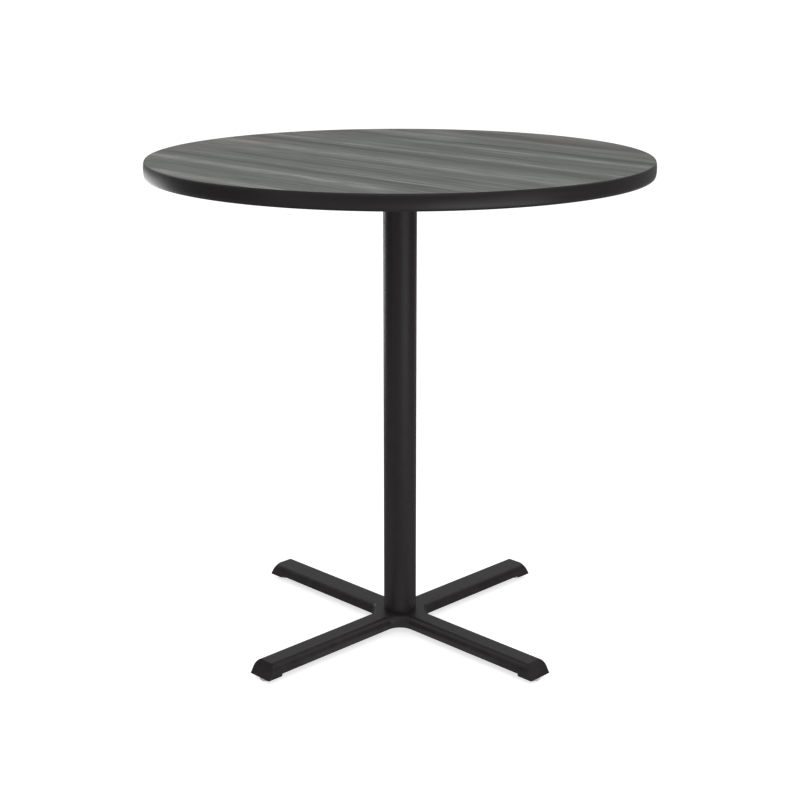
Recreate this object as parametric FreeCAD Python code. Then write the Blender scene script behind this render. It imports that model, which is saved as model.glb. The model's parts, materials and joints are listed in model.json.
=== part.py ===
import FreeCAD, Part

import math
import os

from FreeCAD import Vector

# Bar-height cafe table: a round laminated top with a vinyl edge moulding, a steel column
# and a hollow cast cross base, all drawn together by one long tie rod. The cross stands
# on four screw-in levelling glides. Millimetres, +Z up. The origin is on the floor under
# the middle of the column, and the front of the table looks along -Y.

# Overall
table_height = 1070.2
leg_bearing_degrees = 45.0          # the legs and the spider's arms lie on the diagonals

# Clearances
running_clearance = 0.05            # radial, between a turning or threaded pin and its hole
seat_clearance = 0.1                # between a seated part and the part round it
spigot_clearance = 0.25             # radial, between the column's bore and its spigots
cut_overrun = 2.0                   # how far a cutting shape reaches past what it cuts

# Top panel
panel_diameter = 1066.8
core_thickness = 31.0
laminate_thickness = 0.8
backer_thickness = 0.7

# Edge moulding: a crowned cap over the edge, held by a barbed tang in a saw kerf
cap_lip = 2.4                       # the cap's thickness at its top and bottom
cap_crown = 1.2                     # how much thicker it is at mid height
cap_corner_chamfer = 2.0
tang_thickness = 1.2
tang_length = 10.5
barb_count = 2
barb_pitch = 3.6
barb_height = 0.5
kerf_depth = 12.0

# Spider: the cast plate that joins the column to the panel
spider_reach = 280.0                # middle to the tip of an arm
arm_root_width = 46.0
arm_tip_width = 32.0
arm_thickness = 5.0
arm_rib_thickness = 8.0
arm_rib_depth = 17.0                # below the arm, at the hub
arm_rib_tip_depth = 2.5
arm_rib_tip_inset = 84.0            # tip of an arm to the end of its rib
spider_hub_diameter = 84.0
spider_hub_depth = 24.0
spider_spigot_length = 14.0
nut_recess_diameter = 34.0
nut_recess_depth = 14.5
screw_tip_insets = [64.0, 18.0]     # tip of an arm to each screw in it

# Wood screws through the spider
screw_diameter = 5.5
screw_length = 25.4
screw_head_diameter = 10.4
screw_head_height = 3.4
screw_hole_clearance = 0.5          # radial, in the spider's arm

# Column
column_diameter = 73.0
column_wall = 2.0

# Tie rod with its nuts and washer
rod_diameter = 12.7
rod_hole_clearance = 0.65           # radial, in the castings
rod_upper_projection = 2.0          # past each nut
rod_lower_projection = 4.0
nut_across_flats = 19.05
nut_thickness = 11.1
washer_diameter = 44.0
washer_thickness = 3.2

# Cross base
leg_reach = 420.0                   # middle to the tip of a foot, at its underside
foot_rake = 19.0                    # how far the top of a leg's end leans back
leg_width = 60.0
leg_plateau_width = 33.0
leg_depth = 25.9
leg_side_height = 9.7               # the upright part of a leg's side
shoulder_bulge_share = 0.149        # of the chord from the side to the flat top
web_radius = 35.0                   # plan radius of the web between two legs, below
web_lean = 2.0                      # the web's straight upper edge stands this far inside
web_level_shares = [0, 0.45, 0.75, 1]
web_lean_shares = [0, 0.06, 0.3, 1]
pad_length = 37.0
pad_drop = 5.3                      # how far the foot's pad hangs below the leg
pad_ramp = 1.5
casting_wall = 5.0
hub_boss_diameter = 56.0
hub_boss_depth = 16.0               # below the flat top
base_spigot_length = 12.0
spigot_chamfer = 1.5
leg_rib_thickness = 4.5
leg_rib_recess = 3.5                # above the leg's underside
leg_rib_reaches = [130.0, 250.0]    # middle to each rib across a leg

# Levelling glides
glide_inset = 19.5                  # tip of a foot to the middle of its glide
glide_gap = 0.3                     # between a foot and its pad when fully screwed in
foot_diameter = 30.0
foot_height = 9.1
foot_floor = 2.2                    # nylon under the stem's head
stem_diameter = 9.525
stem_engagement = 16.5              # above the pad when fully screwed in
stem_head_diameter = 18.0
stem_head_thickness = 2.6
glide_hole_depth = 18.0

# Heights above the floor, worked out from the sizes above
pad_height = foot_height + glide_gap
leg_underside = pad_height + pad_drop
side_top = leg_underside + leg_side_height
plateau_height = leg_underside + leg_depth
panel_underside = table_height - laminate_thickness - core_thickness - backer_thickness
core_underside = panel_underside + backer_thickness
core_top = core_underside + core_thickness
column_top = panel_underside - spider_hub_depth

# Widths and radii, worked out
panel_radius = panel_diameter / 2
column_bore_radius = column_diameter / 2 - column_wall
spigot_radius = column_bore_radius - spigot_clearance
rod_hole_radius = rod_diameter / 2 + rod_hole_clearance
core_pilot_radius = screw_diameter / 2 + running_clearance
glide_hole_radius = stem_diameter / 2 + running_clearance
glide_bearing_radius = leg_reach - glide_inset

GLIDE_CORNERS = ["rear_right", "rear_left", "front_left", "front_right"]


def upward(length):
    return Vector(0, 0, length)


def bearing_point(radius, degrees, height=0):
    """A point at this distance and bearing from the column's axis."""
    angle = math.radians(degrees)
    return Vector(radius * math.cos(angle), radius * math.sin(angle), height)


def turned(shape, degrees):
    copy = shape.copy()
    copy.rotate(Vector(0, 0, 0), Vector(0, 0, 1), degrees)
    return copy


def disc(radius, bottom, top, centre=Vector(0, 0, 0)):
    base = Vector(centre.x, centre.y, bottom)
    return Part.makeCylinder(radius, top - bottom, base)


def polygon_face(points):
    return Part.Face(Part.makePolygon(points + points[:1]))


def spun(outline, centre=Vector(0, 0, 0)):
    """Turns a closed outline of (radius, height) points round a vertical axis."""
    face = polygon_face([Vector(radius, 0, height) for radius, height in outline])
    solid = face.revolve(Vector(0, 0, 0), Vector(0, 0, 1), 360)
    solid.translate(Vector(centre.x, centre.y, 0))
    return solid


def arm_bearings():
    return [leg_bearing_degrees + 360 / len(GLIDE_CORNERS) * n for n in range(len(GLIDE_CORNERS))]


def screw_places():
    reaches = [spider_reach - inset for inset in screw_tip_insets]
    return [bearing_point(reach, bearing) for bearing in arm_bearings() for reach in reaches]


# The round top

def make_top_laminate():
    return disc(panel_radius, core_top, table_height)


def make_top_backer():
    holes = [
        disc(core_pilot_radius, panel_underside - cut_overrun, core_underside + cut_overrun, place)
        for place in screw_places()
    ]
    return disc(panel_radius, panel_underside, core_underside).cut(holes)


def kerf_half_width():
    return tang_thickness / 2 + barb_height + running_clearance


def moulding_mid_height():
    return (panel_underside + table_height) / 2


def make_top_core():
    """The particleboard disc, with the saw kerf round its edge and the screws' holes."""
    mid = moulding_mid_height()
    kerf = spun([
        (panel_radius - kerf_depth, mid - kerf_half_width()),
        (panel_radius + cut_overrun, mid - kerf_half_width()),
        (panel_radius + cut_overrun, mid + kerf_half_width()),
        (panel_radius - kerf_depth, mid + kerf_half_width()),
    ])
    screw_top = panel_underside - arm_thickness + screw_length
    holes = [
        disc(core_pilot_radius, core_underside - cut_overrun, screw_top + running_clearance, place)
        for place in screw_places()
    ]
    return disc(panel_radius, core_underside, core_top).cut([kerf] + holes)


def tang_outline(side):
    """One face of the tang from its root to its end, with a barb at each pitch."""
    root = panel_radius + seat_clearance
    end = root - tang_length
    mid = moulding_mid_height()
    flat = mid + side * tang_thickness / 2
    tip = mid + side * (tang_thickness / 2 + barb_height)
    points = [(root, flat)]
    for n in range(barb_count, 0, -1):
        steep = end + barb_pitch * n
        points += [(steep, flat), (steep, tip), (steep - barb_pitch, flat)]
    return points


def make_edge_moulding():
    """The vinyl moulding: a crowned cap with eased corners, and its barbed tang."""
    inner = panel_radius + seat_clearance
    corner = panel_radius + cap_lip
    eased = corner - cap_corner_chamfer
    mid = moulding_mid_height()
    upper_shoulder = Vector(corner, 0, table_height - cap_corner_chamfer)
    lower_shoulder = Vector(corner, 0, panel_underside + cap_corner_chamfer)
    crown = Part.Arc(lower_shoulder, Vector(corner + cap_crown, 0, mid), upper_shoulder)
    tang = tang_outline(1) + tang_outline(-1)[::-1][1:]
    rest = [upper_shoulder, Vector(eased, 0, table_height), Vector(inner, 0, table_height)]
    rest += [Vector(radius, 0, height) for radius, height in tang]
    rest += [Vector(inner, 0, panel_underside), Vector(eased, 0, panel_underside), lower_shoulder]
    profile = Part.Face(Part.Wire([crown.toShape()] + Part.makePolygon(rest).Edges))
    return profile.revolve(Vector(0, 0, 0), Vector(0, 0, 1), 360)


# The spider and its screws

def spider_arm():
    """One arm along +X: a tapered plate with a round end over a tapered rib."""
    top = panel_underside
    bottom = top - arm_thickness
    tip_radius = arm_tip_width / 2
    tip_middle = spider_reach - tip_radius
    outline = Part.Wire([
        Part.makeLine(Vector(0, -arm_root_width / 2, bottom), Vector(tip_middle, -tip_radius, bottom)),
        Part.Arc(
            Vector(tip_middle, -tip_radius, bottom),
            Vector(spider_reach, 0, bottom),
            Vector(tip_middle, tip_radius, bottom),
        ).toShape(),
        Part.makeLine(Vector(tip_middle, tip_radius, bottom), Vector(0, arm_root_width / 2, bottom)),
        Part.makeLine(Vector(0, arm_root_width / 2, bottom), Vector(0, -arm_root_width / 2, bottom)),
    ])
    plate = Part.Face(outline).extrude(upward(arm_thickness))
    rib_side = -arm_rib_thickness / 2
    rib_reach = spider_reach - arm_rib_tip_inset
    rib = polygon_face([
        Vector(0, rib_side, bottom),
        Vector(rib_reach, rib_side, bottom),
        Vector(rib_reach, rib_side, bottom - arm_rib_tip_depth),
        Vector(spider_hub_diameter / 2, rib_side, bottom - arm_rib_depth),
        Vector(0, rib_side, bottom - arm_rib_depth),
    ]).extrude(Vector(0, arm_rib_thickness, 0))
    return plate.fuse(rib)


def make_spider():
    hub = disc(spider_hub_diameter / 2, column_top, panel_underside)
    spigot = spun([
        (0, column_top - spider_spigot_length),
        (spigot_radius - spigot_chamfer, column_top - spider_spigot_length),
        (spigot_radius, column_top - spider_spigot_length + spigot_chamfer),
        (spigot_radius, column_top + cut_overrun),
        (0, column_top + cut_overrun),
    ])
    arms = [turned(spider_arm(), bearing) for bearing in arm_bearings()]
    recess = disc(nut_recess_diameter / 2, panel_underside - nut_recess_depth, panel_underside + cut_overrun)
    rod_hole = disc(
        rod_hole_radius,
        column_top - spider_spigot_length - cut_overrun,
        panel_underside + cut_overrun,
    )
    screw_hole_radius = screw_diameter / 2 + screw_hole_clearance
    plate_bottom = panel_underside - arm_thickness
    screw_holes = [
        disc(screw_hole_radius, plate_bottom - cut_overrun, panel_underside + cut_overrun, place)
        for place in screw_places()
    ]
    return hub.fuse([spigot] + arms).removeSplitter().cut([recess, rod_hole] + screw_holes)


def spider_screw(place):
    """A wood screw, head down, with its head and shank drawn plain."""
    seat = panel_underside - arm_thickness
    head = disc(screw_head_diameter / 2, seat - screw_head_height, seat, place)
    return head.fuse(disc(screw_diameter / 2, seat, seat + screw_length, place))


def make_spider_screws():
    return Part.makeCompound([spider_screw(place) for place in screw_places()])


# The column and the tie rod through it

def make_column_tube():
    outer = disc(column_diameter / 2, plateau_height, column_top)
    bore = disc(column_bore_radius, plateau_height - cut_overrun, column_top + cut_overrun)
    return outer.cut(bore)


def upper_seat():
    return panel_underside - nut_recess_depth


def lower_seat():
    return plateau_height - hub_boss_depth


def make_tie_rod():
    top = upper_seat() + nut_thickness + rod_upper_projection
    bottom = lower_seat() - washer_thickness - nut_thickness - rod_lower_projection
    return disc(rod_diameter / 2, bottom, top)


def hex_nut(bottom):
    corner_radius = nut_across_flats / math.sqrt(3)
    corners = [bearing_point(corner_radius, 60 * n, bottom) for n in range(6)]
    hole_radius = rod_diameter / 2 + running_clearance
    hole = disc(hole_radius, bottom - cut_overrun, bottom + nut_thickness + cut_overrun)
    return polygon_face(corners).extrude(upward(nut_thickness)).cut(hole)


def make_tie_rod_upper_nut():
    return hex_nut(upper_seat())


def make_tie_rod_lower_nut():
    return hex_nut(lower_seat() - washer_thickness - nut_thickness)


def make_tie_rod_washer():
    bottom = lower_seat() - washer_thickness
    hole = disc(rod_hole_radius, bottom - cut_overrun, lower_seat() + cut_overrun)
    return disc(washer_diameter / 2, bottom, lower_seat()).cut(hole)


# The cross base. It is modelled with its legs along X and Y, and turned at the end.

def shoulder_curve(inset):
    """The bulged shoulder of a leg's section, from its side up to its flat top, this far
    inside the casting's outer face."""
    side = Vector(0, leg_width / 2 - inset, side_top)
    edge = Vector(0, leg_plateau_width / 2 - inset / 2, plateau_height - inset)
    chord = edge - side
    outward = Vector(0, chord.z, -chord.y)
    middle = (side + edge) / 2 + outward * shoulder_bulge_share
    return Part.Arc(side, middle, edge)


def leg_bar(inset, bottom, reach):
    """A bar of the leg's section from one end of the cross to the other, along X."""
    curve = shoulder_curve(inset)
    right = curve.toShape()
    left = right.mirror(Vector(0, 0, 0), Vector(0, 1, 0))
    side = curve.StartPoint
    edge = curve.EndPoint
    low = Vector(0, side.y, bottom)
    lines = [
        (Vector(0, -side.y, side.z), Vector(0, -low.y, low.z)),
        (Vector(0, -low.y, low.z), low),
        (low, side),
        (edge, Vector(0, -edge.y, edge.z)),
    ]
    outline = [Part.makeLine(start, end) for start, end in lines] + [left, right]
    face = Part.Face(Part.Wire(Part.__sortEdges__(outline)))
    face.translate(Vector(-reach, 0, 0))
    return face.extrude(Vector(2 * reach, 0, 0))


def leg_elevation():
    """What a leg bar keeps, seen from its side: raked ends, and a pad under each foot."""
    half = [
        (leg_reach - pad_length - pad_ramp, leg_underside),
        (leg_reach - pad_length, pad_height),
        (leg_reach, pad_height),
        (leg_reach - foot_rake, plateau_height),
    ]
    points = half + [(-reach, height) for reach, height in half[::-1]]
    face = polygon_face([Vector(reach, -leg_width, height) for reach, height in points])
    return face.extrude(Vector(0, 2 * leg_width, 0))


def whole_leg_bar():
    return leg_bar(0, pad_height, leg_reach).common(leg_elevation())


def web(inset, bottom):
    """The web between the +X and +Y legs, this far inside the casting's outer face. Its
    outline is an arc below and changes by levels into a straight line at the top."""
    half_width = leg_width / 2 - inset
    curve = shoulder_curve(inset)
    low_reach = leg_width / 2 + web_radius
    arc_middle = half_width * math.sqrt(2) + (web_radius + inset) * (math.sqrt(2) - 1)
    top_reach = (arc_middle - web_lean) * math.sqrt(2) - curve.EndPoint.y
    levels = [(half_width, bottom, low_reach, arc_middle)]
    for share, lean_share in zip(web_level_shares, web_lean_shares):
        span = curve.LastParameter - curve.FirstParameter
        point = curve.value(curve.FirstParameter + span * share)
        reach = low_reach + (top_reach - low_reach) * share
        levels.append((point.y, point.z, reach, arc_middle - web_lean * lean_share))
    wires = []
    for width, height, reach, middle in levels:
        start = Vector(reach, width, height)
        end = Vector(width, reach, height)
        if height < curve.EndPoint.z:
            front = Part.Arc(start, bearing_point(middle, 45, height), end).toShape()
        else:
            front = Part.makeLine(start, end)
        axis = upward(height)
        wires.append(Part.Wire([Part.makeLine(axis, start), front, Part.makeLine(end, axis)]))
    return Part.makeLoft(wires, True, True)


def cross_of(bar, one_web):
    """Two bars and four webs fused to one cross."""
    webs = [turned(one_web, 90 * n) for n in range(4)]
    return bar.fuse([turned(bar, 90)] + webs).removeSplitter()


def cross_cavity():
    """The hollow under the cross, which leaves the hub's boss and the ribs standing."""
    below = leg_underside - cut_overrun
    cavity_reach = leg_reach - pad_length - pad_ramp - casting_wall
    hollow = cross_of(leg_bar(casting_wall, below, cavity_reach), web(casting_wall, below))
    standing = [disc(hub_boss_diameter / 2, plateau_height - hub_boss_depth, plateau_height)]
    rib_bottom = leg_underside + leg_rib_recess
    for reach in leg_rib_reaches:
        rib = Part.makeBox(
            leg_rib_thickness,
            leg_width,
            leg_depth,
            Vector(reach - leg_rib_thickness / 2, -leg_width / 2, rib_bottom),
        )
        standing += [turned(rib, 90 * n) for n in range(4)]
    return hollow.cut(standing)


def make_base_casting():
    """The hollow cast cross: bulged legs with raked ends, webs, pads, boss and spigot."""
    outer = cross_of(whole_leg_bar(), web(0, leg_underside))
    spigot_top = plateau_height + base_spigot_length
    spigot = spun([
        (0, plateau_height - cut_overrun),
        (spigot_radius, plateau_height - cut_overrun),
        (spigot_radius, spigot_top - spigot_chamfer),
        (spigot_radius - spigot_chamfer, spigot_top),
        (0, spigot_top),
    ])
    rod_hole = disc(rod_hole_radius, pad_height, spigot_top + cut_overrun)
    glide_holes = [
        disc(
            glide_hole_radius,
            pad_height - cut_overrun,
            pad_height + glide_hole_depth,
            bearing_point(glide_bearing_radius, 90 * n),
        )
        for n in range(4)
    ]
    casting = outer.cut(cross_cavity()).fuse(spigot).cut([rod_hole] + glide_holes)
    return turned(casting, leg_bearing_degrees)


# The levelling glides

def make_glide_stem(place):
    """A threaded stem, drawn plain, on the round head that the nylon foot holds."""
    stem_radius = stem_diameter / 2
    top = pad_height + stem_engagement
    return spun([
        (0, foot_floor),
        (stem_head_diameter / 2, foot_floor),
        (stem_head_diameter / 2, foot_floor + stem_head_thickness),
        (stem_radius, foot_floor + stem_head_thickness),
        (stem_radius, top),
        (0, top),
    ], place)


def make_glide_foot(place):
    """The nylon foot, moulded round the stem's head so that the stem can turn in it."""
    pocket_radius = stem_head_diameter / 2 + running_clearance
    neck_radius = stem_diameter / 2 + running_clearance
    pocket_top = foot_floor + stem_head_thickness + running_clearance
    return spun([
        (0, 0),
        (foot_diameter / 2, 0),
        (foot_diameter / 2, foot_height),
        (neck_radius, foot_height),
        (neck_radius, pocket_top),
        (pocket_radius, pocket_top),
        (pocket_radius, foot_floor),
        (0, foot_floor),
    ], place)


def make_parts():
    parts = {
        "top_laminate": make_top_laminate(),
        "top_core": make_top_core(),
        "top_backer": make_top_backer(),
        "edge_moulding": make_edge_moulding(),
        "spider": make_spider(),
        "spider_screws": make_spider_screws(),
        "column_tube": make_column_tube(),
        "tie_rod": make_tie_rod(),
        "tie_rod_upper_nut": make_tie_rod_upper_nut(),
        "tie_rod_lower_nut": make_tie_rod_lower_nut(),
        "tie_rod_washer": make_tie_rod_washer(),
        "base_casting": make_base_casting(),
    }
    for corner, bearing in zip(GLIDE_CORNERS, arm_bearings()):
        place = bearing_point(glide_bearing_radius, bearing)
        parts["glide_stem_" + corner] = make_glide_stem(place)
        parts["glide_foot_" + corner] = make_glide_foot(place)
    return parts


os.makedirs("parts", exist_ok=True)
for name, shape in make_parts().items():
    shape.exportStep("parts/" + name + ".step")
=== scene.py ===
import json
import math

import bpy
from mathutils import Matrix, Vector

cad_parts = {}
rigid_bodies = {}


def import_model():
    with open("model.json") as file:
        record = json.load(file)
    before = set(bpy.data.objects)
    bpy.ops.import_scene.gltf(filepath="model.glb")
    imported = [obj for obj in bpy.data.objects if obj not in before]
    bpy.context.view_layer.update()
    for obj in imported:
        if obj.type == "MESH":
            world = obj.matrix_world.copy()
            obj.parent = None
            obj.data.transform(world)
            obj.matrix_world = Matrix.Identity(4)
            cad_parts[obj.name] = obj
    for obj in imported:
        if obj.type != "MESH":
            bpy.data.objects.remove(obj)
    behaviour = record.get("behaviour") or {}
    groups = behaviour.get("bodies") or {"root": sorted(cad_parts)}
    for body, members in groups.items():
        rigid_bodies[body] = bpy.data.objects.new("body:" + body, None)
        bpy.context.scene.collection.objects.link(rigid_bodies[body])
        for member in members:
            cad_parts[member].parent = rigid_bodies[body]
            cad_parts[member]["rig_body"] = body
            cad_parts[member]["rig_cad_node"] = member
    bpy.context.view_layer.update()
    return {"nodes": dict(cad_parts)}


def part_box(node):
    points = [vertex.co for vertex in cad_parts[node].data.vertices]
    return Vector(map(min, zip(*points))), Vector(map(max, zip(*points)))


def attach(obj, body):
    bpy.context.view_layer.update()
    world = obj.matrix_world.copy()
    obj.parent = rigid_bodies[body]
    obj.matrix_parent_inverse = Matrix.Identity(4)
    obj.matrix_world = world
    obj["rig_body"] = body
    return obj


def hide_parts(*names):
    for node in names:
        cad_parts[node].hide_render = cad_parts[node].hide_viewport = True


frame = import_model()

# A bar-height cafe table: grey wood-grain laminate top with a black vinyl edge, a powder
# coated column and a hollow cast cross base on nylon glides. Metres, in the frame's axes.

CORNERS = ["rear_right", "rear_left", "front_left", "front_right"]

# Where the camera stood, worked out from the photograph
camera_place = (0.0, -3.2909, 1.4808)
camera_pitch_degrees = 16.044
camera_lens = 69.846                # mm
camera_sensor = 36                  # mm

# Laminate and its edge moulding
laminate_edge_break = 0.0002
cap_bulge = 0.0033
cap_bulge_power = 2.2               # 2 would make the crown an ellipse
cap_steps = 26
tang_thickness = 0.0012
tang_length = 0.0105
barb_pitch = 0.0036
barb_height = 0.0005
barb_count = 2
seat_gap = 0.0001                   # between the panel's edge and the cap

# Column and castings
column_wall = 0.002
column_edge_break = 0.0004
casting_edge_radius = 0.0011
casting_edge_steps = 5
casting_corner_degrees = 28         # a sharper corner than this gets the radius

# Threads: pitch, and how they are cut
rod_pitch = 0.0019538
rod_thread_length = 0.045
stem_pitch = 0.0015875
wood_screw_pitch = 0.0023
thread_depth_share = 0.54           # of the pitch
groove_steepness = 1.25             # 1 would leave no flat at the groove's bottom
rings_per_turn = 6

# Tie rod, nuts and washer
rod_end_chamfer = 0.0008
nut_across_flats = 0.01905
nut_hole_clearance = 0.00005
nut_countersink = 0.0007
nut_face_share = 0.97               # of the flats' radius, left flat at each end
nut_cone_share = 0.6                # the turned cone's height, of the corners' reach
nut_corner_degrees = 35             # a sharper corner than this gets the edge break
nut_edge_break = 0.00015
turning_overrun = 0.0001
washer_hole_clearance = 0.00065
washer_edge_round = 0.0005

# Wood screws
screw_head_radius = 0.0052
screw_head_height = 0.0034
screw_head_edge = 0.0005
screw_head_corner = 0.0004
# The crown's points: share of the head's radius, and height above its face
screw_crown = [(0.30, 0.0), (0.62, 0.00025), (0.86, 0.0008), (0.98, 0.0017)]
screw_shank_radius = 0.00275
screw_neck_length = 0.0062
screw_run_out = 0.001
screw_point_length = 0.006
screw_point_waist = (0.62, 0.55)    # share of the shank's radius, share of the point's length
screw_tip_radius = 0.0002
recess_width = 0.0011
recess_reach = 0.0027
recess_depth = 0.0019
recess_overrun = 0.0005

# Glides
foot_round = 0.0016
foot_side_draft = 0.0006
foot_hole_share = 0.3               # of the foot's radius, the hole in its underside
foot_neck_radius = 0.00482
foot_neck_flare = (0.0012, 0.0008)  # outwards, downwards
foot_floor = 0.0022
foot_head_clearance = 0.00005
stem_head_radius = 0.009
stem_head_thickness = 0.0026
stem_head_lower_round = 0.0004
stem_head_upper_round = 0.0003
stem_to_rod = 0.75                  # a 3/8 in stem beside the 1/2 in rod
stem_neck_length = 0.0016
stem_end_chamfer = 0.0007

# Segments round a turned piece
fine_turn = 256
tube_turn = 128
coarse_turn = 64
shank_turn = 32

# The angle from which an edge stays sharp when a piece is shaded smooth
sharp_degrees = 30
moulding_sharp_degrees = 35
screw_sharp_degrees = 35
thread_sharp_degrees = 50
casting_sharp_degrees = 16.5        # just below the corner along a leg's flat top

# How meshes are joined up
merge_distance = 1e-6
cad_merge_distance = 2e-6
flat_join_degrees = 1.0


# Modelling

def deselect():
    bpy.ops.object.select_all(action="DESELECT")


def select_only(piece):
    deselect()
    piece.select_set(True)
    bpy.context.view_layer.objects.active = piece


def edit(piece):
    """Opens a piece in edit mode with nothing else selected."""
    select_only(piece)
    bpy.ops.object.mode_set(mode="EDIT")


def leave_edit():
    bpy.ops.object.mode_set(mode="OBJECT")


def settle(piece):
    """Moves a piece's place, turn and size into its mesh."""
    select_only(piece)
    bpy.ops.object.transform_apply(location=True, rotation=True, scale=True)


def smooth(piece, degrees=sharp_degrees):
    select_only(piece)
    bpy.ops.object.shade_smooth_by_angle(angle=math.radians(degrees))


def apply_modifier(piece, kind, **settings):
    select_only(piece)
    modifier = piece.modifiers.new(kind.title(), kind)
    for name, value in settings.items():
        setattr(modifier, name, value)
    bpy.ops.object.modifier_apply(modifier=modifier.name)


def face_outwards(piece):
    edit(piece)
    bpy.ops.mesh.select_all(action="SELECT")
    bpy.ops.mesh.remove_doubles(threshold=merge_distance)
    bpy.ops.mesh.normals_make_consistent(inside=False)
    leave_edit()


def lathed(name, outline, segments=coarse_turn, hollow=False):
    """Turns an outline of (radius, height) points round the upright axis. A first ring is
    drawn, and then extruded and resized to each point after it. A hollow piece's outline
    comes back to its first point; any other is closed by its two end faces."""
    deselect()
    radius, height = outline[0]
    bpy.ops.mesh.primitive_circle_add(
        vertices=segments,
        radius=radius,
        location=(0, 0, height),
        fill_type="NOTHING" if hollow else "NGON",
    )
    piece = bpy.context.object
    piece.name = name
    settle(piece)
    edit(piece)
    bpy.ops.mesh.select_all(action="SELECT")
    points = outline + outline[:1] if hollow else outline
    for (radius, height), (next_radius, next_height) in zip(points, points[1:]):
        rise = (0, 0, next_height - height)
        bpy.ops.mesh.extrude_region_move(TRANSFORM_OT_translate={"value": rise})
        share = next_radius / radius
        middle = (0, 0, next_height)
        bpy.ops.transform.resize(value=(share, share, 1), center_override=middle)
    leave_edit()
    face_outwards(piece)
    return piece


def quarter_round(middle, radius, start_degrees, end_degrees, steps=5):
    """Points of (radius, height) round a corner's middle."""
    points = []
    for n in range(steps + 1):
        angle = math.radians(start_degrees + (end_degrees - start_degrees) * n / steps)
        points.append((middle[0] + radius * math.cos(angle), middle[1] + radius * math.sin(angle)))
    return points


def cut_thread(piece, radius, pitch, bottom, top, run_out):
    """Draws a shank's skin in along a right-hand helix between two heights."""
    depth = pitch * thread_depth_share
    for vertex in piece.data.vertices:
        across = vertex.co.xy
        if abs(across.length - radius) > depth or not bottom < vertex.co.z < top:
            continue
        turn = math.atan2(across.y, across.x) / math.tau
        phase = ((vertex.co.z - bottom) / pitch - turn) % 1
        groove = min(1, 2 * abs(phase - 0.5) * groove_steepness)
        fade = min(1, (vertex.co.z - bottom) / run_out, (top - vertex.co.z) / run_out)
        across *= 1 - depth * groove * fade / radius
        vertex.co.x = across.x
        vertex.co.y = across.y


def thread_heights(bottom, top, pitch):
    count = math.ceil((top - bottom) / pitch * rings_per_turn)
    return [bottom + (top - bottom) * n / count for n in range(count + 1)]


def radius_of(node):
    low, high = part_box(node)
    return (high.x - low.x) / 2


def copied(piece, name, shift=(0, 0, 0)):
    """A copy of a piece, with a mesh of its own that is moved by the shift."""
    copy = piece.copy()
    copy.data = piece.data.copy()
    copy.data.transform(Matrix.Translation(shift))
    copy.name = name
    bpy.context.scene.collection.objects.link(copy)
    return copy


def copy_of_node(name, node):
    """A CAD node's mesh as a piece of its own, with its loose triangles joined up."""
    piece = copied(frame["nodes"][node], name)
    piece.parent = None
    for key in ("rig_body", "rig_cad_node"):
        del piece[key]
    edit(piece)
    bpy.ops.mesh.select_all(action="SELECT")
    bpy.ops.mesh.remove_doubles(threshold=cad_merge_distance)
    bpy.ops.mesh.dissolve_limited(angle_limit=math.radians(flat_join_degrees))
    leave_edit()
    return piece


def finished(piece, material):
    piece.data.materials.clear()
    piece.data.materials.append(material)


def dressed(piece, material, body, node):
    """Gives a piece its finish and its body, and hides the CAD node that it stands for."""
    finished(piece, material)
    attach(piece, body)
    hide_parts(node)


# Shader nodes

class Value:
    """One output of a node. Arithmetic on it adds Math nodes."""

    def __init__(self, nodes, socket):
        self.nodes = nodes
        self.socket = socket

    def maths(self, operation, *values):
        return self.nodes.node("Math", {"operation": operation}, dict(enumerate(values)))

    def __add__(self, other):
        return self.maths("ADD", self, other)

    def __sub__(self, other):
        return self.maths("SUBTRACT", self, other)

    def __rsub__(self, other):
        return self.maths("SUBTRACT", other, self)

    def __mul__(self, other):
        return self.maths("MULTIPLY", self, other)

    def __abs__(self):
        return self.maths("ABSOLUTE", self)

    __radd__ = __add__
    __rmul__ = __mul__


class Nodes:
    """A node tree, with a method that adds any node to it."""

    def __init__(self, tree):
        self.tree = tree

    def node(self, kind, settings, inputs, output=0):
        """Adds a node, sets it, feeds its sockets, and returns one of its outputs."""
        node = self.tree.nodes.new("ShaderNode" + kind)
        for name, value in settings.items():
            if name == "stops":
                set_stops(node.color_ramp, value)
            else:
                setattr(node, name, value)
        self.fill(node, inputs)
        return Value(self, node.outputs[output])

    def fill(self, node, inputs):
        """Feeds a node's sockets with values or links."""
        for socket, value in inputs.items():
            if isinstance(value, Value):
                self.tree.links.new(value.socket, node.inputs[socket])
            else:
                node.inputs[socket].default_value = value

    def ranged(self, value, low, high, new_low, new_high, soft=True):
        return self.node("MapRange", {"interpolation_type": "SMOOTHSTEP" if soft else "LINEAR"}, {
            "Value": value,
            "From Min": low,
            "From Max": high,
            "To Min": new_low,
            "To Max": new_high,
        })

    def seen_directly(self):
        """1 for rays from the camera, in a mirror or through glass, and 0 for others."""
        camera = self.node("LightPath", {}, {}, "Is Camera Ray")
        mirror = self.node("LightPath", {}, {}, "Is Glossy Ray")
        glass = self.node("LightPath", {}, {}, "Is Transmission Ray")
        return camera + mirror + glass


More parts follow.
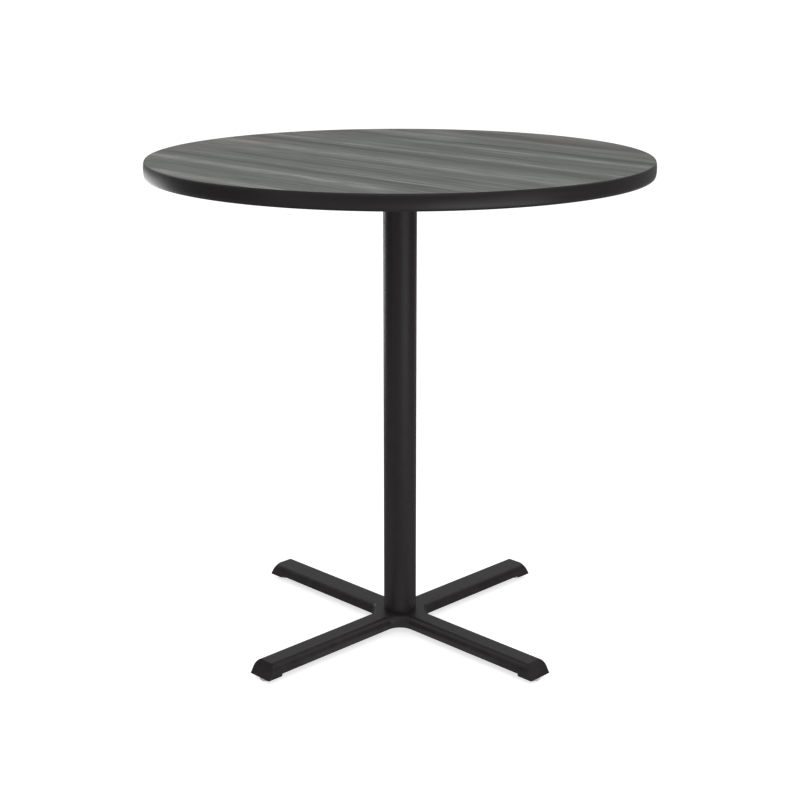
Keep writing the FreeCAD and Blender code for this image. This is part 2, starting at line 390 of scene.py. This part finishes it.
class Surface(Nodes):
    """A material of one Principled shader."""

    def __init__(self, name, **constants):
        self.material = bpy.data.materials.new(name)
        self.material.use_nodes = True
        super().__init__(self.material.node_tree)
        self.shader = self.tree.nodes["Principled BSDF"]
        self.feed(**constants)

    def feed(self, **inputs):
        """Feeds the shader's sockets, whose names have _ for a space here."""
        self.fill(self.shader, {name.replace("_", " "): value for name, value in inputs.items()})

    def here(self):
        """Object coordinates."""
        return self.node("TexCoord", {}, {}, "Object")

    def height(self):
        """Height above the floor, in object coordinates."""
        return self.node("SeparateXYZ", {}, {"Vector": self.here()}, "Z")

    def place(self, scale=(1, 1, 1), turn_degrees=0, shift=(0, 0, 0)):
        """Object coordinates, turned about the upright axis and then stretched."""
        turned = self.node("VectorRotate", {"rotation_type": "Z_AXIS"}, {
            "Vector": self.here(),
            "Angle": math.radians(turn_degrees),
        })
        return self.node("Mapping", {}, {"Vector": turned, "Scale": scale, "Location": shift})

    def noise(self, place, scale=1.0, detail=2.0, roughness=0.5, distortion=0.0):
        return self.node("TexNoise", {}, {
            "Vector": place,
            "Scale": scale,
            "Detail": detail,
            "Roughness": roughness,
            "Distortion": distortion,
        }, "Fac")

    def ramp(self, value, stops):
        return self.node("ValToRGB", {"stops": stops}, {"Fac": value})

    def mixed(self, share, first, second):
        """Mixes two colours. The node's colour sockets are its inputs 6 and 7, and output 2."""
        return self.node("Mix", {"data_type": "RGBA"}, {0: share, 6: first, 7: second}, 2)

    def bump(self, height, distance):
        self.feed(Normal=self.node("Bump", {}, {"Distance": distance, "Height": height}, "Normal"))


def set_stops(ramp, stops):
    while len(ramp.elements) < len(stops):
        ramp.elements.new(1.0)
    for element, (position, colour) in zip(ramp.elements, stops):
        element.position = position
        element.color = colour


def near_black(level):
    """The black parts' slightly violet black."""
    return (level * 1.11, level * 0.95, level * 1.02, 1)


# The laminate's print

# The main streaks of the wood grain, in metres: distance across the grain, how far the
# streak fades on its lower and upper side, how much lighter (or, below zero, darker) than
# the ground, and from where to where it runs along the grain
GRAIN_STREAKS = [
    (0.078, 0.012, 0.012, 0.85, -0.48, 0.55),
    (0.040, 0.055, 0.026, -0.50, -0.45, 0.55),
    (-0.060, 0.030, 0.040, 0.32, -0.60, -0.30),
    (-0.075, 0.036, 0.066, 0.58, -0.55, 0.52),
    (-0.122, 0.014, 0.014, -0.45, -0.12, 0.55),
    (-0.138, 0.007, 0.007, 0.55, -0.28, 0.14),
    (-0.205, 0.026, 0.022, -0.32, -0.25, 0.52),
    (-0.246, 0.010, 0.020, 0.40, -0.08, 0.42),
    (-0.262, 0.006, 0.006, 0.75, -0.06, 0.03),
    (-0.268, 0.006, 0.008, 1.10, 0.14, 0.40),
    (-0.252, 0.012, 0.012, 0.35, -0.34, -0.26),
    (-0.292, 0.030, 0.024, -0.28, -0.40, 0.32),
    (-0.354, 0.034, 0.028, 0.97, -0.42, 0.25),
    (-0.500, 0.030, 0.020, 1.12, -0.18, 0.18),
    (0.150, 0.045, 0.050, -0.28, -0.05, 0.50),
    (0.200, 0.060, 0.060, -0.18, -0.60, -0.34),
    (0.226, 0.022, 0.016, 0.52, 0.02, 0.45),
    (0.274, 0.024, 0.024, -0.70, -0.02, 0.48),
    (0.262, 0.040, 0.020, -0.30, -0.45, -0.15),
    (0.318, 0.035, 0.035, 0.62, -0.50, -0.20),
    (0.430, 0.050, 0.050, -0.66, -0.15, 0.34),
    (0.505, 0.030, 0.030, 0.35, -0.20, 0.06),
]
grain_bearing_degrees = 45.2        # clockwise from +X, seen from above
streak_fade = 0.13                  # over which a streak ends, along the grain
grain_sway = 0.016                  # how far the streaks wander, across the grain
grain_raggedness = 0.018            # how far their edges fray


def grain_noise(surface, stretch, detail=2.0, roughness=0.5, shift=(0, 0, 0)):
    """Noise that is stretched by so much along the grain and across it."""
    place = surface.place((*stretch, 1), grain_bearing_degrees, shift)
    return surface.noise(place, 1.0, detail, roughness)


def wood_grain(surface):
    """How light the printed grain is, with 0 for its ground, and where it turns warmer."""
    place = surface.place(turn_degrees=grain_bearing_degrees)
    along = surface.node("SeparateXYZ", {}, {"Vector": place}, "X")
    across = surface.node("SeparateXYZ", {}, {"Vector": place}, "Y")
    sway = grain_noise(surface, (1.8, 6), detail=3.0) - 0.5
    fray = grain_noise(surface, (7, 60), detail=3.0, roughness=0.6) - 0.5
    across = across + sway * grain_sway + fray * grain_raggedness
    patches = grain_noise(surface, (8, 75), detail=3.0, roughness=0.65)
    patchy = surface.ranged(patches, 0.3, 0.7, 0.2, 1.75, soft=False)
    ground = grain_noise(surface, (0.9, 30), detail=6.0, roughness=0.72) - 0.5
    tone = ground * 1.8 + (patches - 0.5) * 1.1
    for middle, below, above, strength, start, end in GRAIN_STREAKS:
        offset = across - middle
        rising = surface.ranged(offset, -below, 0, 0, strength)
        falling = surface.ranged(offset, 0, above, 1, 0)
        half_run = (end - start) / 2
        from_middle = abs(along - (start + end) / 2)
        run = surface.ranged(from_middle, half_run, half_run + streak_fade, 1, 0)
        tone = tone + rising * falling * run * patchy
    rear_right = surface.ranged(across, 0.28, 0.42, 0, 1)
    rear_left = surface.ranged(along, -0.28, -0.46, 0, 1)
    front_left = surface.ranged(across, -0.42, -0.50, 0, 0.5)
    return tone, rear_right + rear_left + front_left


def laminate():
    """Streaks of printed wood grain, with hairs, fibres and fine light threads over them."""
    surface = Surface("wood_grain_laminate", Specular_IOR_Level=0.10)
    tone, warmth = wood_grain(surface)
    hairs = grain_noise(surface, (4, 260), detail=3.0, roughness=0.6)
    fibres = grain_noise(surface, (14, 900))
    threads = grain_noise(surface, (3.2, 140), shift=(5, 2, 0))
    light_hairs = surface.ranged(threads, 0.56, 0.68, 0, 1)
    tone = tone * 0.37 + 0.25 + (hairs - 0.5) * 0.5 + (fibres - 0.5) * 0.2 + light_hairs * 0.26
    cool = surface.ramp(tone, [(0.0, (0.012, 0.016, 0.013, 1)), (1.0, (0.244, 0.257, 0.235, 1))])
    warm = surface.ramp(tone, [(0.0, (0.021, 0.018, 0.020, 1)), (1.0, (0.254, 0.254, 0.232, 1))])
    drift = grain_noise(surface, (2.4, 5), shift=(3, 1, 0)) - 0.5
    warmth = surface.ranged(warmth + drift * 1.4, 0.1, 0.9, 0, 1)
    surface.feed(Base_Color=surface.mixed(warmth, cool, warm))
    grip = surface.noise(surface.place(), scale=1400.0)
    surface.feed(Roughness=surface.ranged(grip + (hairs - 0.5) * 0.4, 0.2, 0.8, 0.42, 0.54))
    surface.bump(grip * 0.6 + fibres * 0.7 + light_hairs * 0.4, distance=0.00006)
    return surface.material


# The other finishes

def powder_coat(name, level, roughness, cast):
    """Black powder coat: fine orange peel, over a smooth tube or a sand casting."""
    surface = Surface(name, Specular_IOR_Level=0.18)
    peel = surface.noise(surface.place(), scale=520.0, roughness=0.45)
    speck = surface.noise(surface.place(), scale=2600.0, detail=1.0)
    swell = surface.noise(surface.place(), scale=34.0, detail=3.0, roughness=0.55)
    shade = surface.ranged(swell + (speck - 0.5) * 0.5, 0.25, 0.75, 0, 1)
    blotch = 0.07 + 0.14 * cast
    darker = near_black(level * (1 - blotch))
    lighter = near_black(level * (1 + blotch))
    surface.feed(Base_Color=surface.mixed(shade, darker, lighter))
    worn = peel + (swell - 0.5) * (0.3 + 0.5 * cast)
    surface.feed(Roughness=surface.ranged(worn, 0.2, 0.8, roughness - 0.05, roughness + 0.07))
    surface.bump(peel + speck * 0.35 + swell * cast, distance=0.00011)
    return surface.material


def vinyl():
    """Extruded vinyl: faint lines round the edge where it left the die, and a fine grain."""
    surface = Surface("black_vinyl", Specular_IOR_Level=0.20)
    flat = surface.node("CombineXYZ", {}, {"Z": surface.height() * 2600.0})
    lines = surface.noise(flat)
    pebble = surface.noise(surface.place(), scale=1800.0)
    smear = surface.noise(surface.place((3, 3, 60)), detail=3.0)
    surface.feed(Base_Color=surface.mixed(smear, near_black(0.0095), near_black(0.014)))
    surface.feed(Roughness=surface.ranged(pebble + smear, 0.6, 1.4, 0.30, 0.42))
    surface.bump(lines * 0.25 + pebble * 0.5, distance=0.00005)
    return surface.material


def nylon():
    """Moulded nylon, clouded inside and scuffed grey where it meets the floor."""
    surface = Surface("light_grey_nylon", Specular_IOR_Level=0.5, Subsurface_Weight=0.08)
    cloud = surface.noise(surface.place(), scale=160.0, detail=3.0)
    scuff = surface.noise(surface.place((1, 1, 6)), scale=900.0, detail=4.0, roughness=0.7)
    worn = surface.ranged(surface.height() + (scuff - 0.5) * 0.003, 0.0003, 0.0022, 1, 0)
    clean = surface.mixed(cloud, (0.60, 0.60, 0.575, 1), (0.68, 0.68, 0.655, 1))
    surface.feed(Base_Color=surface.mixed(worn, clean, (0.36, 0.35, 0.33, 1)))
    surface.feed(Roughness=surface.ranged(scuff, 0.3, 0.7, 0.36, 0.52))
    surface.bump(scuff * 0.4 + cloud, distance=0.00005)
    return surface.material


def zinc_plate():
    """Bright zinc with cloudy patches, drawn out along the piece."""
    surface = Surface("bright_zinc_plate", Metallic=1.0)
    cloud = surface.noise(surface.place(), scale=240.0, detail=3.0)
    draw = surface.noise(surface.place((1, 1, 12)), scale=1500.0)
    colour = surface.ramp(cloud, [
        (0.25, (0.50, 0.51, 0.50, 1)),
        (0.5, (0.60, 0.61, 0.62, 1)),
        (0.8, (0.66, 0.65, 0.60, 1)),
    ])
    surface.feed(Base_Color=colour)
    surface.feed(Roughness=surface.ranged(draw + cloud, 0.7, 1.3, 0.22, 0.38))
    surface.bump(draw, distance=0.00003)
    return surface.material


def particleboard():
    """Pressed flakes with wood dust between them."""
    surface = Surface("raw_particleboard")
    flake = surface.node("TexVoronoi", {"feature": "F1"}, {
        "Vector": surface.place((1, 1, 2.5)),
        "Scale": 520.0,
    }, "Color")
    shade = surface.node("RGBToBW", {}, {"Color": flake})
    dust = surface.noise(surface.place(), scale=1200.0, detail=3.0)
    colour = surface.ramp(shade * 0.8 + dust * 0.2, [
        (0.1, (0.24, 0.15, 0.08, 1)),
        (0.5, (0.42, 0.29, 0.17, 1)),
        (0.95, (0.60, 0.46, 0.30, 1)),
    ])
    surface.feed(Base_Color=colour)
    surface.feed(Roughness=surface.ranged(dust, 0.3, 0.7, 0.75, 0.92))
    surface.bump(shade + dust * 0.5, distance=0.00025)
    return surface.material


def backing_sheet():
    """Brown phenolic backing with the fibre of its paper and the press's faint mottle."""
    surface = Surface("brown_backing_sheet", Specular_IOR_Level=0.3)
    paper = surface.place((60, 240, 1), turn_degrees=12)
    fibre = surface.noise(paper, detail=4.0, roughness=0.65, distortion=0.6)
    mottle = surface.noise(surface.place(), scale=14.0, detail=4.0, roughness=0.6)
    colour = surface.ramp(mottle * 0.7 + fibre * 0.3, [
        (0.25, (0.030, 0.021, 0.015, 1)),
        (0.55, (0.043, 0.031, 0.022, 1)),
        (0.8, (0.060, 0.044, 0.032, 1)),
    ])
    surface.feed(Base_Color=colour)
    surface.feed(Roughness=surface.ranged(fibre, 0.3, 0.7, 0.55, 0.72))
    surface.bump(fibre + mottle * 0.3, distance=0.00008)
    return surface.material


# The top

def moulding_outline(inner, top, bottom):
    """The crowned cap from its top to its bottom edge, then the barbed tang inwards."""
    mid = (top + bottom) / 2
    half = (top - bottom) / 2
    points = []
    for n in range(cap_steps + 1):
        level = math.cos(math.pi * n / cap_steps)
        bulge = cap_bulge * (1 - abs(level) ** cap_bulge_power) ** 0.5
        points.append((inner + bulge, mid + half * level))
    end = inner - tang_length
    under = mid - tang_thickness / 2
    lower = [(inner, under)]
    for n in range(barb_count, 0, -1):
        steep = end + barb_pitch * n
        lower += [(steep, under), (steep, under - barb_height), (steep - barb_pitch, under)]
    upper = [(radius, 2 * mid - height) for radius, height in reversed(lower)]
    return points + lower + upper


def make_top():
    low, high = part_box("top_laminate")
    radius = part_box("top_core")[1].x
    sheet = lathed("grey_laminate_sheet", [
        (radius, low.z),
        (radius, high.z - laminate_edge_break),
        (radius - laminate_edge_break, high.z),
    ], segments=fine_turn)
    smooth(sheet)
    dressed(sheet, laminate(), "table", "top_laminate")

    low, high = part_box("edge_moulding")
    outline = moulding_outline(radius + seat_gap, high.z, low.z)
    edge = lathed("vinyl_edge_moulding", outline, segments=fine_turn, hollow=True)
    smooth(edge, moulding_sharp_degrees)
    dressed(edge, vinyl(), "table", "edge_moulding")


def finish_panel():
    """The core and its backing sheet keep their CAD shapes and get their finishes."""
    finished(frame["nodes"]["top_core"], particleboard())
    finished(frame["nodes"]["top_backer"], backing_sheet())


# The column, the castings and the tie rod

def make_column():
    low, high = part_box("column_tube")
    outer = radius_of("column_tube")
    inner = outer - column_wall
    edge = column_edge_break
    tube = lathed("column_tube_coated", [
        (outer - edge, low.z),
        (outer, low.z + edge),
        (outer, high.z - edge),
        (outer - edge, high.z),
        (inner + edge, high.z),
        (inner, high.z - edge),
        (inner, low.z + edge),
        (inner + edge, low.z),
    ], segments=tube_turn, hollow=True)
    smooth(tube)
    coat = powder_coat("column_powder_coat", level=0.0152, roughness=0.40, cast=0.0)
    dressed(tube, coat, "table", "column_tube")


def make_castings():
    """The CAD castings with their edges rounded as a mould and its coating leave them."""
    coat = powder_coat("casting_powder_coat", level=0.0165, roughness=0.38, cast=0.9)
    for name, node in [("cross_base_cast", "base_casting"), ("spider_cast", "spider")]:
        casting = copy_of_node(name, node)
        apply_modifier(
            casting,
            "BEVEL",
            width=casting_edge_radius,
            segments=casting_edge_steps,
            limit_method="ANGLE",
            angle_limit=math.radians(casting_corner_degrees),
            use_clamp_overlap=True,
            harden_normals=False,
        )
        smooth(casting, casting_sharp_degrees)
        apply_modifier(casting, "WEIGHTED_NORMAL", keep_sharp=True)
        dressed(casting, coat, "table", node)


def make_tie_rod(finish):
    low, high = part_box("tie_rod")
    radius = radius_of("tie_rod")
    chamfer = rod_end_chamfer
    lower_thread = thread_heights(low.z + chamfer, low.z + rod_thread_length, rod_pitch)
    upper_thread = thread_heights(high.z - rod_thread_length, high.z - chamfer, rod_pitch)
    outline = [(radius - chamfer, low.z)]
    outline += [(radius, height) for height in lower_thread + upper_thread]
    outline += [(radius - chamfer, high.z)]
    rod = lathed("tie_rod_threaded", outline, segments=shank_turn)
    for thread in (lower_thread, upper_thread):
        cut_thread(rod, radius, rod_pitch, thread[0], thread[-1], rod_pitch)
    smooth(rod, thread_sharp_degrees)
    dressed(rod, finish, "table", "tie_rod")


def make_nut(name, node, finish):
    """A hexagon turned down at both ends, with a countersunk hole."""
    low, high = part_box(node)
    hole = radius_of("tie_rod") + nut_hole_clearance
    corner = nut_across_flats / math.sqrt(3)
    flat = nut_across_flats / 2
    face = flat * nut_face_share
    ease = (corner - flat) * nut_cone_share
    over = turning_overrun
    deselect()
    bpy.ops.mesh.primitive_cylinder_add(
        vertices=6,
        radius=corner,
        depth=high.z - low.z,
        location=(0, 0, (low.z + high.z) / 2),
        rotation=(0, 0, math.radians(30)),
    )
    nut = bpy.context.object
    nut.name = name
    settle(nut)
    turned = lathed("nut_turning", [
        (hole + nut_countersink, low.z - over),
        (face, low.z - over),
        (face, low.z),
        (corner + over, low.z + ease),
        (corner + over, high.z - ease),
        (face, high.z),
        (face, high.z + over),
        (hole + nut_countersink, high.z + over),
        (hole, high.z - nut_countersink),
        (hole, low.z + nut_countersink),
    ], hollow=True)
    apply_modifier(nut, "BOOLEAN", operation="INTERSECT", object=turned, solver="EXACT")
    bpy.data.objects.remove(turned)
    apply_modifier(
        nut,
        "BEVEL",
        width=nut_edge_break,
        segments=1,
        limit_method="ANGLE",
        angle_limit=math.radians(nut_corner_degrees),
    )
    face_outwards(nut)
    smooth(nut)
    dressed(nut, finish, "table", node)


def make_washer(finish):
    low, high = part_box("tie_rod_washer")
    outer = radius_of("tie_rod_washer")
    inner = radius_of("tie_rod") + washer_hole_clearance
    soft = washer_edge_round
    outline = quarter_round((outer - soft, low.z + soft), soft, -90, 0)
    outline += quarter_round((outer - soft, high.z - soft), soft, 0, 90)
    outline += [(inner, high.z), (inner, low.z + soft), (inner + soft, low.z)]
    washer = lathed("tie_rod_washer_stamped", outline, hollow=True)
    smooth(washer)
    dressed(washer, finish, "table", "tie_rod_washer")


# The spider's wood screws

def screw_places():
    """The middles of the screws, from the eight solids of their node."""
    groups = []
    for vertex in frame["nodes"]["spider_screws"].data.vertices:
        spot = Vector((vertex.co.x, vertex.co.y))
        for group in groups:
            if (group[0] - spot).length < 3 * screw_head_radius:
                group.append(spot)
                break
        else:
            groups.append([spot])
    middles = []
    for group in groups:
        xs = [spot.x for spot in group]
        ys = [spot.y for spot in group]
        middles.append(((min(xs) + max(xs)) / 2, (min(ys) + max(ys)) / 2))
    return middles


def make_screw(low, high):
    """A pan-head wood screw, head down: cross recess, plain neck, thread and point."""
    seat = low + screw_head_height
    head = [(screw_head_radius * share, low + height) for share, height in screw_crown]
    head += [
        (screw_head_radius, seat - screw_head_edge),
        (screw_head_radius - screw_head_corner, seat),
    ]
    thread_start = seat + screw_neck_length
    thread_end = high - screw_point_length
    heights = thread_heights(thread_start, thread_end, wood_screw_pitch)
    shank = [(screw_shank_radius, seat)] + [(screw_shank_radius, height) for height in heights]
    waist_radius, waist_length = screw_point_waist
    point = [
        (screw_shank_radius * waist_radius, high - screw_point_length * waist_length),
        (screw_tip_radius, high),
    ]
    screw = lathed("wood_screw", head + shank + point, segments=shank_turn)
    cut_thread(
        screw, screw_shank_radius, wood_screw_pitch, thread_start, thread_end, screw_run_out,
    )
    for turn_degrees in (45, 135):
        deselect()
        middle = (0, 0, low + recess_depth / 2 - recess_overrun)
        bpy.ops.mesh.primitive_cube_add(size=1, location=middle)
        bar = bpy.context.object
        bar.rotation_euler.z = math.radians(turn_degrees)
        bar.scale = (2 * recess_reach, recess_width, recess_depth + 2 * recess_overrun)
        settle(bar)
        apply_modifier(screw, "BOOLEAN", operation="DIFFERENCE", object=bar, solver="EXACT")
        bpy.data.objects.remove(bar)
    smooth(screw, screw_sharp_degrees)
    return screw


def make_spider_screws(finish):
    """One screw, copied to its eight places and joined to one piece."""
    low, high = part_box("spider_screws")
    first = make_screw(low.z, high.z)
    screws = [copied(first, "wood_screw", (*centre, 0)) for centre in screw_places()]
    bpy.data.objects.remove(first)
    deselect()
    for screw in screws:
        screw.select_set(True)
    joined = screws[0]
    bpy.context.view_layer.objects.active = joined
    bpy.ops.object.join()
    joined.name = "spider_wood_screws"
    dressed(joined, finish, "table", "spider_screws")


# The levelling glides

def make_foot(outer, top):
    """A nylon foot on the upright axis, hollow round the stem's head."""
    pocket_radius = stem_head_radius + foot_head_clearance
    pocket_top = foot_floor + stem_head_thickness + foot_head_clearance
    flare, flare_depth = foot_neck_flare
    hole = outer * foot_hole_share
    rim = outer - foot_side_draft
    outline = [(hole, 0.0)]
    outline += quarter_round((outer - foot_round, foot_round), foot_round, -90, 0)
    outline += quarter_round((rim - foot_round, top - foot_round), foot_round, 0, 90)
    outline += [
        (foot_neck_radius + flare, top),
        (foot_neck_radius, top - flare_depth),
        (foot_neck_radius, pocket_top),
        (pocket_radius, pocket_top),
        (pocket_radius, foot_floor),
        (hole, foot_floor),
    ]
    foot = lathed("nylon_foot", outline, hollow=True)
    smooth(foot)
    return foot


def make_stem(bottom, top):
    """A threaded stem with its round head, on the upright axis."""
    radius = radius_of("tie_rod") * stem_to_rod
    head_top = foot_floor + stem_head_thickness
    heights = thread_heights(head_top + stem_neck_length, top - stem_end_chamfer, stem_pitch)
    outline = [
        (stem_head_radius - stem_head_lower_round, bottom),
        (stem_head_radius, bottom + stem_head_lower_round),
        (stem_head_radius, head_top - stem_head_upper_round),
        (stem_head_radius - stem_head_upper_round, head_top),
        (radius, head_top),
    ]
    outline += [(radius, height) for height in heights]
    outline += [(radius - stem_end_chamfer, top)]
    stem = lathed("threaded_stem", outline, segments=shank_turn)
    cut_thread(stem, radius, stem_pitch, heights[0], heights[-1], stem_pitch)
    smooth(stem, thread_sharp_degrees)
    return stem


def make_glides(plastic, steel):
    """One foot and one stem, each copied to the four corners."""
    foot_node = "glide_foot_" + CORNERS[0]
    first_foot = make_foot(radius_of(foot_node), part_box(foot_node)[1].z)
    stem_low, stem_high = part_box("glide_stem_" + CORNERS[0])
    first_stem = make_stem(stem_low.z, stem_high.z)
    for corner in CORNERS:
        low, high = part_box("glide_foot_" + corner)
        shift = ((low.x + high.x) / 2, (low.y + high.y) / 2, 0)
        foot = copied(first_foot, "nylon_foot_" + corner, shift)
        dressed(foot, plastic, "foot_" + corner, "glide_foot_" + corner)
        stem = copied(first_stem, "threaded_stem_" + corner, shift)
        dressed(stem, steel, "stem_" + corner, "glide_stem_" + corner)
    bpy.data.objects.remove(first_foot)
    bpy.data.objects.remove(first_stem)


# The studio

floor_size = 160
floor_drop = 0.0005                 # below the feet
floor_colour = (0.76, 0.76, 0.76, 1)
floor_glow = 0.68                   # added to the lit floor, which so comes out white
card_colour = (0.02, 0.02, 0.02, 1)
world_light = 0.55                  # on the object, where 1 is white

# Grey cards that only reflections show, in which they tone down the white studio for the
# black parts: place, lean and turn in degrees, width, height, and level, where 1 is white
CARDS = {
    "left_card": ((-2.4, -0.2, 0.8), 90, 90, 3.0, 1.8, 0.27),
    "right_card": ((2.5, 1.8, 0.8), 90, 90, 6.6, 1.8, 0.29),
    "front_card": ((0, -4.4, 1.5), 90, 0, 6.0, 2.2, 0.18),
    "back_card": ((0, 3.5, 1.0), 90, 0, 8.0, 1.5, 0.40),
    "back_floor_card": ((0, 1.05, 0.01), 0, 0, 4.4, 2.2, 0.42),
    "front_floor_card": ((0, -1.22, 0.01), 0, 0, 4.4, 1.94, 0.62),
}

# Soft lamps: place, the point that each faces, width, height and watts
LAMPS = {
    "overhead": ((0, -0.5, 3.4), (0, 0, 0.6), 3.0, 3.0, 21),
    "left_strip": ((-2.9, 1.6, 3.2), (0, 0, 0.1), 4.0, 1.1, 25),
    "right_strip": ((2.9, 1.6, 3.2), (0, 0, 0.1), 4.0, 1.1, 25),
    "front_strip": ((0, -3.0, 3.0), (0, 0, 0.1), 3.0, 0.9, 17),
    "front_right": ((1.4, -2.0, 0.28), (0, 0, 0.6), 2.1, 0.6, 16),
    "back_left": ((-1.9, 1.9, 0.35), (0, 0, 0.8), 1.4, 0.7, 9),
}


def stage_material(name, colour, glow):
    """A matt surface that glows for the camera, mirrors and glass, and lights nothing."""
    surface = Surface(
        name,
        Base_Color=colour,
        Roughness=1.0,
        Specular_IOR_Level=0.0,
        Emission_Color=(1, 1, 1, 1),
    )
    surface.feed(Emission_Strength=surface.seen_directly() * glow)
    return surface.material


def make_floor():
    deselect()
    bpy.ops.mesh.primitive_plane_add(size=floor_size, location=(0, 0, -floor_drop))
    floor = bpy.context.object
    floor.name = "studio_floor"
    settle(floor)
    finished(floor, stage_material("white_floor", floor_colour, floor_glow))


def make_cards():
    for name, (place, lean_degrees, turn_degrees, width, height, level) in CARDS.items():
        deselect()
        rotation = (math.radians(lean_degrees), 0, math.radians(turn_degrees))
        bpy.ops.mesh.primitive_plane_add(size=1, location=place, rotation=rotation)
        card = bpy.context.object
        card.name = name
        card.scale = (width, height, 1)
        settle(card)
        finished(card, stage_material(name, card_colour, level))
        card.visible_camera = False
        card.visible_diffuse = False
        card.visible_shadow = False


def make_world():
    world = bpy.data.worlds.new("studio")
    bpy.context.scene.world = world
    world.use_nodes = True
    nodes = Nodes(world.node_tree)
    strength = nodes.ranged(nodes.seen_directly(), 0, 1, world_light, 1, soft=False)
    background = world.node_tree.nodes["Background"]
    nodes.fill(background, {"Color": (1, 1, 1, 1), "Strength": strength})


def make_lamps():
    for name, (place, aim, width, height, watts) in LAMPS.items():
        deselect()
        bpy.ops.object.light_add(type="AREA", location=place)
        lamp = bpy.context.object
        lamp.name = name
        lamp.data.shape = "RECTANGLE"
        lamp.data.size = width
        lamp.data.size_y = height
        lamp.data.energy = watts
        lamp.visible_camera = False
        direction = Vector(aim) - Vector(place)
        lamp.rotation_euler = direction.to_track_quat("-Z", "Y").to_euler()


def make_camera():
    deselect()
    pitch = math.radians(90 - camera_pitch_degrees)
    bpy.ops.object.camera_add(location=camera_place, rotation=(pitch, 0, 0))
    camera = bpy.context.object
    camera.data.lens = camera_lens
    camera.data.sensor_width = camera_sensor
    camera.data.dof.use_dof = False
    camera.data.clip_start = 0.05
    camera.data.clip_end = 300
    bpy.context.scene.camera = camera


def main():
    bpy.context.scene.view_settings.view_transform = "Standard"
    make_camera()
    make_world()
    make_lamps()
    make_floor()
    make_cards()
    steel = zinc_plate()
    make_top()
    finish_panel()
    make_column()
    make_castings()
    make_tie_rod(steel)
    make_nut("upper_nut_turned", "tie_rod_upper_nut", steel)
    make_nut("lower_nut_turned", "tie_rod_lower_nut", steel)
    make_washer(steel)
    make_spider_screws(steel)
    make_glides(nylon(), steel)


main()
